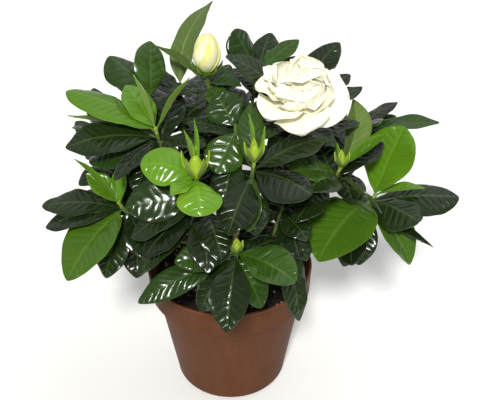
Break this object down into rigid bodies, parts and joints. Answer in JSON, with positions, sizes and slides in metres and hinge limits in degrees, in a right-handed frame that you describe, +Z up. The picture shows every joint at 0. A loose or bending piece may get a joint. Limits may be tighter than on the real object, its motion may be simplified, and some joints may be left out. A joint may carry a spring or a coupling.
{
  "type": "potted gardenia",
  "caption": "Bushy gardenia in a plain round nursery pot: glossy pointed leaves on branched woody stems, a double white flower and a swelling bud.",
  "frame": {"origin": "middle of the pot's foot, on the surface that the pot stands on", "axes": "+Z up along the pot's axis, -Y towards the side that faces the viewer, +X to the viewer's right"},
  "size_m": [0.3108, 0.2517, 0.2905],
  "materials": {
    "pot": "satin moulded plastic, reddish brown",
    "soil": "moist crumbly potting soil with white grains",
    "wood": "thin matt grey-brown bark",
    "leaf": "very glossy dark green leaf",
    "young_leaf": "glossy light yellow-green leaf",
    "bud": "smooth cream petal with yellow streaks",
    "petal": "soft matt white petal, slightly see-through"
  },
  "bodies": {
    "root": {"pot": "pot", "soil": "soil", "trunk_left": "wood", "trunk_right": "wood", "trunk_front": "wood", "trunk_back": "wood", "shoot_top": "leaf", "shoot_tall": "leaf", "shoot_left_back": "leaf", "shoot_left_high": "leaf", "young_left_high": "young_leaf", "shoot_front_low": "leaf", "shoot_front_young": "leaf", "young_front_young": "young_leaf", "shoot_middle": "leaf", "young_middle": "young_leaf", "shoot_right_high": "leaf", "young_right_high": "young_leaf", "shoot_right_low": "leaf", "young_right_low": "young_leaf", "shoot_left_low": "leaf", "young_left_low": "young_leaf", "shoot_right_inner": "leaf", "shoot_bloom": "leaf", "shoot_back_top": "leaf", "shoot_inner": "leaf", "shoot_back_left": "leaf", "shoot_back_left_high": "leaf", "shoot_back_middle": "leaf", "shoot_back_right_high": "leaf", "shoot_back_right": "leaf", "shoot_back_low_left": "leaf", "shoot_back_low_right": "leaf", "cream_bud": "bud", "flower": "petal"}
  },
  "joints": []
}
